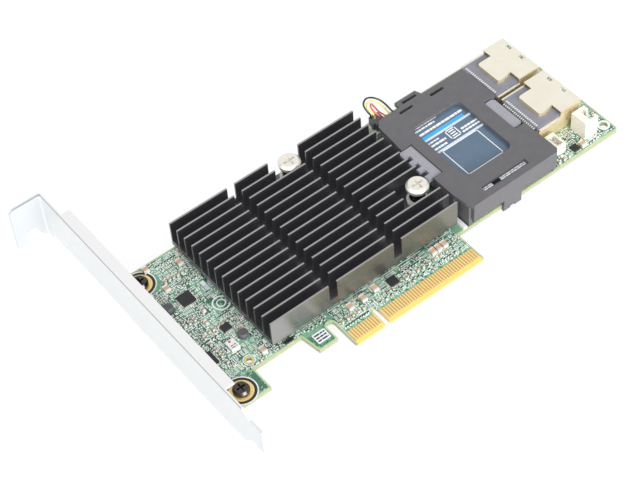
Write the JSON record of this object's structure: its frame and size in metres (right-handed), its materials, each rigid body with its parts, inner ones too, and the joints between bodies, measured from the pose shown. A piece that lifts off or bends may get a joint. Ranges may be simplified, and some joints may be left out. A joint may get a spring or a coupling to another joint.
{
  "type": "storage controller card",
  "caption": "Low-profile storage controller card with a full-height slot bracket, black finned heatsink, caged battery pack and internal cable sockets.",
  "frame": {"origin": "middle of the board's thickness at the contact edge, in line with the key notch", "axes": "+X from the slot bracket to the cable sockets, +Y from the contact edge to the top edge, +Z out of the component side"},
  "size_m": [0.181, 0.12, 0.0184],
  "materials": {
    "solder_mask": "gloss dark green solder mask with white legend",
    "gold_plate": "gold plated copper",
    "bracket_steel": "nickel plated sheet steel",
    "dark_screw": "black zinc plated steel",
    "black_anodised": "black anodised aluminium with bare cut fin tops",
    "washer_nylon": "cream nylon",
    "spring_wire": "plain spring wire",
    "bright_screw": "nickel plated steel",
    "chip_resin": "black moulded epoxy",
    "pad_grey": "grey thermal interface pad",
    "carrier_plastic": "dark grey moulded plastic",
    "tray_plastic": "light grey moulded plastic",
    "pack_wrap": "slate blue shrink film",
    "label_film": "printed film with plain bars",
    "paper_label": "white label with plain bars",
    "header_nylon": "natural nylon",
    "plug_plastic": "grey moulded plastic",
    "tin_plate": "tin plated brass",
    "ferrite": "grey ferrite",
    "ceramic_white": "white ceramic can",
    "tantalum_tan": "tan moulded epoxy",
    "capacitor_tan": "brown ceramic with tinned ends",
    "resistor_black": "black glaze with tinned ends",
    "wire_black": "black wire sleeve",
    "wire_yellow": "yellow wire sleeve",
    "wire_red": "red wire sleeve",
    "socket_plastic": "dark grey moulded plastic",
    "cage_tin": "tin plated sheet brass"
  },
  "bodies": {
    "root": {"pcb": "solder_mask", "edge_contacts": "gold_plate", "slot_bracket": "bracket_steel", "bracket_screws": "dark_screw", "heatsink": "black_anodised", "heatsink_washers": "washer_nylon", "heatsink_springs": "spring_wire", "heatsink_screws": "bright_screw", "heatsink_nuts": "bright_screw", "raid_processor": "chip_resin", "thermal_pad": "pad_grey", "battery_carrier": "carrier_plastic", "battery_tray": "tray_plastic", "battery_pack": "pack_wrap", "battery_label": "label_film", "data_label": "paper_label", "battery_header": "header_nylon", "battery_plug": "plug_plastic", "large_header": "header_nylon", "large_header_pins": "tin_plate", "small_header": "header_nylon", "small_header_pins": "tin_plate", "controller_chip": "chip_resin", "small_chips": "chip_resin", "memory_chips": "chip_resin", "inductors": "ferrite", "oscillator": "ceramic_white", "tan_capacitors": "tantalum_tan", "small_capacitors": "capacitor_tan", "small_resistors": "resistor_black", "back_parts": "capacitor_tan", "spacer_strip": "header_nylon", "battery_wire_black": "wire_black", "battery_wire_yellow": "wire_yellow", "battery_wire_red": "wire_red", "sas_housing_a": "socket_plastic", "sas_cage_a": "cage_tin", "sas_contacts_a": "tin_plate", "sas_housing_b": "socket_plastic", "sas_cage_b": "cage_tin", "sas_contacts_b": "tin_plate"}
  },
  "joints": []
}
